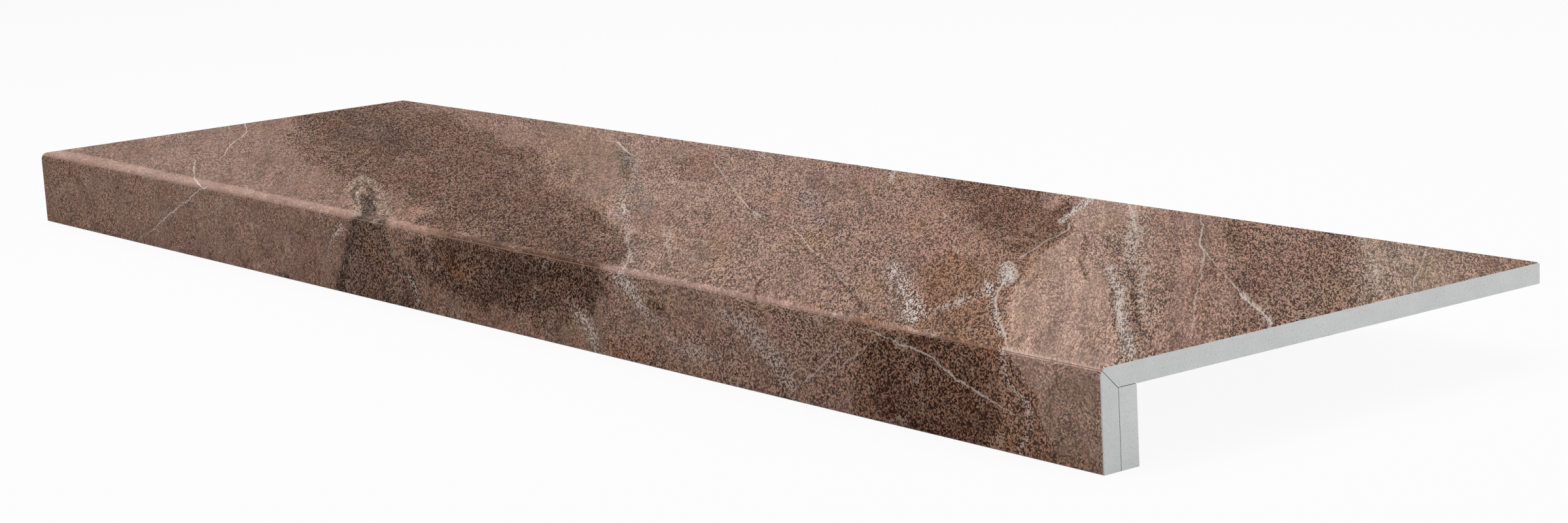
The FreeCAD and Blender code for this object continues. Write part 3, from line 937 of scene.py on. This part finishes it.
def stoneLookMaterial():
    recipe = Recipe("stoneLookTile")
    place = placeInMm(recipe)
    x, y, z = recipe.split(place)
    s = recipe.minus(recipe.plus(y, z), foldSum)
    ground = groundAndHighlightMask(recipe, x, s)
    colour, grain = stoneColour(recipe, x, s, ground)
    # Painted highlight: the ground nosing band is made lighter, as if lit more strongly than the top
    colour = recipe.blend(ground, colour, groundNosingAndHighlight["tone"] + (1.0,), "MULTIPLY")
    bodyColour, bodyHeight = firedBodyColour(recipe, place)
    glaze, edge = stoneLook["glazeDepth"], stoneLook["glazeEdge"]
    below = recipe.spread(depthBelowFace(recipe, y, z), glaze - edge, glaze + edge)
    colour = recipe.blend(below, colour, bodyColour)
    height = recipe.between(below, recipe.times(grain, stoneLook["grainHeight"]), bodyHeight)
    rough, swing = stoneLook["roughness"], stoneLook["roughnessSwing"]
    faceRoughness = recipe.spread(grain, *usualNoise, rough + swing, rough - swing)
    faceRoughness = recipe.between(ground, faceRoughness, rough - groundNosingAndHighlight["polish"])
    roughness = recipe.between(below, faceRoughness, firedBody["roughness"])
    return recipe.shade(colour, roughness, height, stoneLook["heightMm"],
                        Specular_IOR_Level=stoneLook["specular"])


def tileBodyMaterial():
    recipe = Recipe("firedTileBody")
    colour, height = firedBodyColour(recipe, placeInMm(recipe))
    return recipe.shade(colour, firedBody["roughness"], height, firedBody["heightMm"])


# The epoxy: dark grey in the joints, tinted like the stone where it was ground with the nosing

epoxyLook = {
    "colour": (112, 108, 102),
    "tint": (142, 112, 98),
    "tintedDepth": 0.5,
    "tintEdge": 0.2,
    "mottle": (1.5, 3.0, 0.6),     # a noise as above
    "mottleTones": (0.86, 1.12),
    "heightMm": 0.05,
    "roughness": 0.42,
}


def epoxyMaterial():
    recipe = Recipe("curedEpoxy")
    place = placeInMm(recipe)
    _, y, z = recipe.split(place)
    mottled = recipe.noise(place, *epoxyLook["mottle"], dimensions="3D")
    tinted = epoxyLook["tintedDepth"]
    below = recipe.spread(depthBelowFace(recipe, y, z), tinted, tinted + epoxyLook["tintEdge"])
    colour = recipe.blend(below, linearColour(epoxyLook["tint"]), linearColour(epoxyLook["colour"]))
    tone = recipe.spread(mottled, *usualNoise, *epoxyLook["mottleTones"], smooth=False)
    colour = recipe.blend(1.0, colour, tone, "MULTIPLY")
    return recipe.shade(colour, epoxyLook["roughness"], mottled, epoxyLook["heightMm"])


def dress(piece, material):
    piece.data.materials.clear()
    piece.data.materials.append(material)


stoneLookTile = stoneLookMaterial()
dress(treadSlab, stoneLookTile)
dress(nosingStrip, stoneLookTile)
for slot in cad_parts["backing_strip"].material_slots:
    slot.material = tileBodyMaterial()
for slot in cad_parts["epoxy_bed"].material_slots:
    slot.material = epoxyMaterial()
print("materials mixed")


# The studio: a pale floor, soft lamps and the camera

studio = {
    "floorHalf": 30.0,
    "floorColour": (250, 250, 250),
    "floorGlow": 0.92,          # share of the floor that the camera sees as plain white
    "worldStrength": 0.20,
    "cameraAzimuth": 52.787,
    "cameraElevation": 10.684,
    "cameraRoll": -3.18,
    "cameraPlace": (1.6995, -1.1881, 0.3972),
    "lensMm": 72.54,
    "sensorMm": 36.0,
    "clipStart": 0.05,
    "clipEnd": 100.0,
}

# Lamps: name, place, aimed at, size and power in watts
lamps = [
    ("topSoftbox", (-0.2, -0.1, 2.2), (0.0, 0.0, 0.05), (3.0, 2.2), 39.0),
    ("noseStrip", (-2.2, -1.6, 1.1), (0.0, -0.16, 0.05), (1.6, 0.6), 4.0),
    ("endFill", (2.9, 0.7, 0.5), (0.6, 0.0, 0.03), (1.2, 0.8), 27.5),
]


def whiteForCamera(tree):
    # 1 for rays from the camera, from a gloss or through glass, else 0
    path = tree.nodes.new("ShaderNodeLightPath")
    total = path.outputs["Is Camera Ray"]
    for kind in ("Is Glossy Ray", "Is Transmission Ray"):
        either = tree.nodes.new("ShaderNodeMath")
        either.operation = "MAXIMUM"
        tree.links.new(total, either.inputs[0])
        tree.links.new(path.outputs[kind], either.inputs[1])
        total = either.outputs[0]
    return total


def makeFloor():
    # A matte floor, of which the camera sees a share as plain white, so that the shadow is faint
    half = studio["floorHalf"]
    mesh = bpy.data.meshes.new("studioFloor")
    corners = [(-half, -half, 0), (half, -half, 0), (half, half, 0), (-half, half, 0)]
    mesh.from_pydata(corners, [], [(0, 1, 2, 3)])
    floor = bpy.data.objects.new("studioFloor", mesh)
    bpy.context.scene.collection.objects.link(floor)
    material = bpy.data.materials.new("studioFloor")
    material.use_nodes = True
    tree = material.node_tree
    tree.nodes.clear()
    paint = tree.nodes.new("ShaderNodeBsdfDiffuse")
    paint.inputs["Color"].default_value = linearColour(studio["floorColour"])
    glow = tree.nodes.new("ShaderNodeEmission")
    glow.inputs["Strength"].default_value = 1.0
    share = tree.nodes.new("ShaderNodeMath")
    share.operation = "MULTIPLY"
    share.inputs[1].default_value = studio["floorGlow"]
    tree.links.new(whiteForCamera(tree), share.inputs[0])
    mixed = tree.nodes.new("ShaderNodeMixShader")
    tree.links.new(share.outputs[0], mixed.inputs[0])
    tree.links.new(paint.outputs[0], mixed.inputs[1])
    tree.links.new(glow.outputs[0], mixed.inputs[2])
    output = tree.nodes.new("ShaderNodeOutputMaterial")
    tree.links.new(mixed.outputs[0], output.inputs["Surface"])
    mesh.materials.append(material)


def makeWorld():
    # White where the camera looks, and a weak even light on the object
    world = bpy.data.worlds.new("studioWorld")
    bpy.context.scene.world = world
    world.use_nodes = True
    tree = world.node_tree
    background = tree.nodes["Background"]
    background.inputs["Color"].default_value = (1.0, 1.0, 1.0, 1.0)
    strength = tree.nodes.new("ShaderNodeMapRange")
    strength.inputs["To Min"].default_value = studio["worldStrength"]
    strength.inputs["To Max"].default_value = 1.0
    tree.links.new(whiteForCamera(tree), strength.inputs["Value"])
    tree.links.new(strength.outputs["Result"], background.inputs["Strength"])


def makeLamp(name, place, target, size, watts):
    # A soft rectangle of light that faces its target
    light = bpy.data.lights.new(name, "AREA")
    light.shape = "RECTANGLE"
    light.size = size[0]
    light.size_y = size[1]
    light.energy = watts
    lamp = bpy.data.objects.new(name, light)
    lamp.location = place
    lamp.rotation_euler = (Vector(target) - Vector(place)).to_track_quat("-Z", "Y").to_euler()
    bpy.context.scene.collection.objects.link(lamp)


def makeCamera():
    # Azimuth is measured from -Y towards +X, and the camera rolls about its own view
    data = bpy.data.cameras.new("portraitCamera")
    data.sensor_fit = "HORIZONTAL"
    data.sensor_width = studio["sensorMm"]
    data.lens = studio["lensMm"]
    data.clip_start = studio["clipStart"]
    data.clip_end = studio["clipEnd"]
    camera = bpy.data.objects.new("portraitCamera", data)
    azimuth = math.radians(studio["cameraAzimuth"])
    elevation = math.radians(studio["cameraElevation"])
    back = Vector((math.sin(azimuth) * math.cos(elevation), -math.cos(azimuth) * math.cos(elevation),
                   math.sin(elevation)))
    level = (-back).to_track_quat("-Z", "Y")
    camera.rotation_mode = "QUATERNION"
    camera.rotation_quaternion = level @ Quaternion((0, 0, 1), math.radians(studio["cameraRoll"]))
    camera.location = studio["cameraPlace"]
    bpy.context.scene.collection.objects.link(camera)
    bpy.context.scene.camera = camera


makeFloor()
makeWorld()
for lamp in lamps:
    makeLamp(*lamp)
makeCamera()
bpy.context.scene.view_settings.view_transform = "Standard"
print("studio lit")

bpy.context.view_layer.update()
